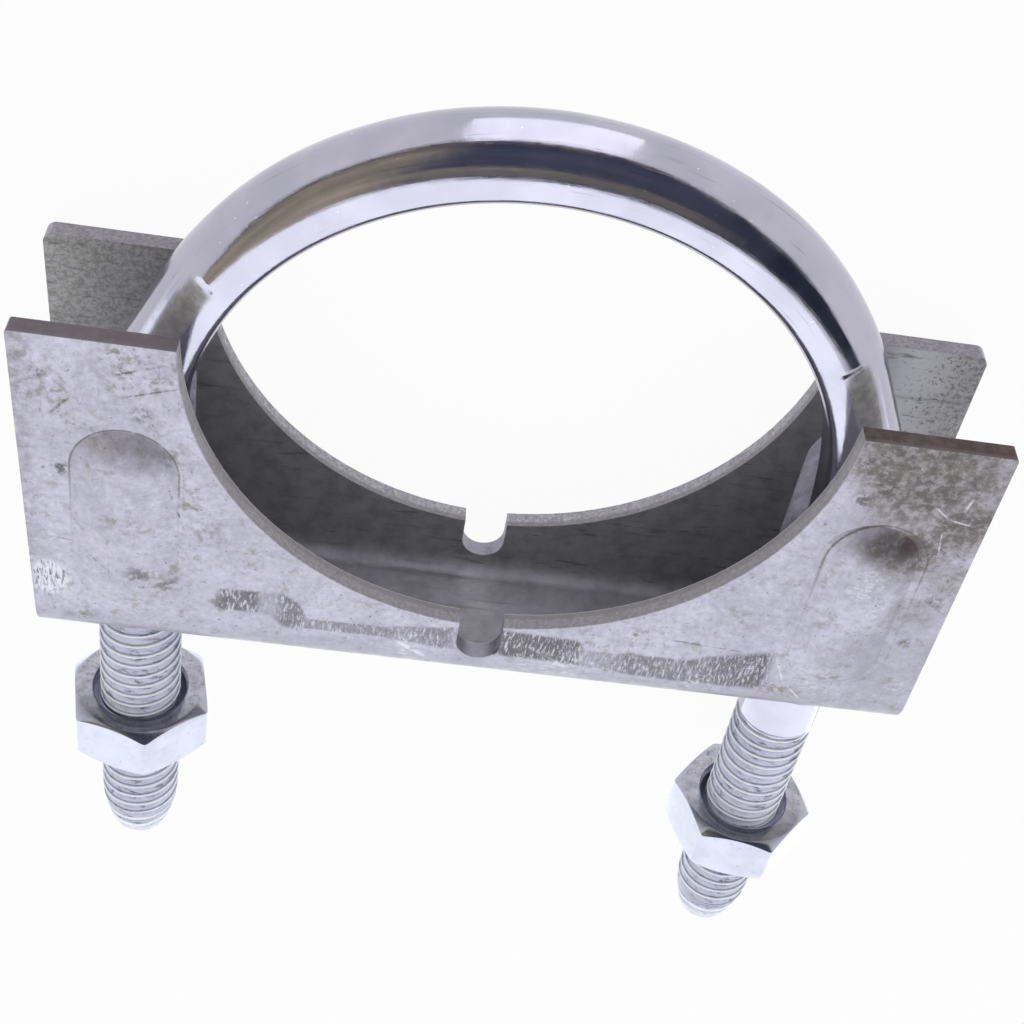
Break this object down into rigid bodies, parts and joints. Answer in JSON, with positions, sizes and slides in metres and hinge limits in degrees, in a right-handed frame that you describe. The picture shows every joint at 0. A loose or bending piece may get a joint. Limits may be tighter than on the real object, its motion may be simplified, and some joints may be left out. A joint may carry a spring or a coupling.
{
  "type": "exhaust clamp",
  "caption": "U-bolt exhaust clamp: a folded sheet saddle with a half-round seat, a U-bolt with a flattened loop, and two hex nuts.",
  "frame": {"origin": "axis of the pipe in the saddle's seat, midway between the saddle's two walls", "axes": "+Z along the pipe, upward as the clamp lies on one wall; +Y from the threaded ends to the loop; X from leg to leg"},
  "size_m": [0.0795, 0.094, 0.017],
  "materials": {
    "saddle_zinc": "dull zinc plate, marked and stained",
    "bolt_zinc": "bright zinc plate",
    "nut_zinc": "bright zinc plate"
  },
  "bodies": {
    "saddle": {"saddle": "saddle_zinc"},
    "u_bolt": {"u_bolt": "bolt_zinc"},
    "nut_left": {"nut_left": "nut_zinc"},
    "nut_right": {"nut_right": "nut_zinc"}
  },
  "joints": [
    {"name": "u_bolt_slide", "type": "slide", "parent": "saddle", "child": "u_bolt", "axis": [0, 1, 0], "range_m": [-0.012, 0.0137]},
    {"name": "nut_left_travel", "type": "slide", "parent": "u_bolt", "child": "nut_left", "axis": [0, 1, 0], "range_m": [-0.015, 0.00035]},
    {"name": "nut_right_travel", "type": "slide", "parent": "u_bolt", "child": "nut_right", "axis": [0, 1, 0], "range_m": [-0.01345, 0.007]}
  ]
}
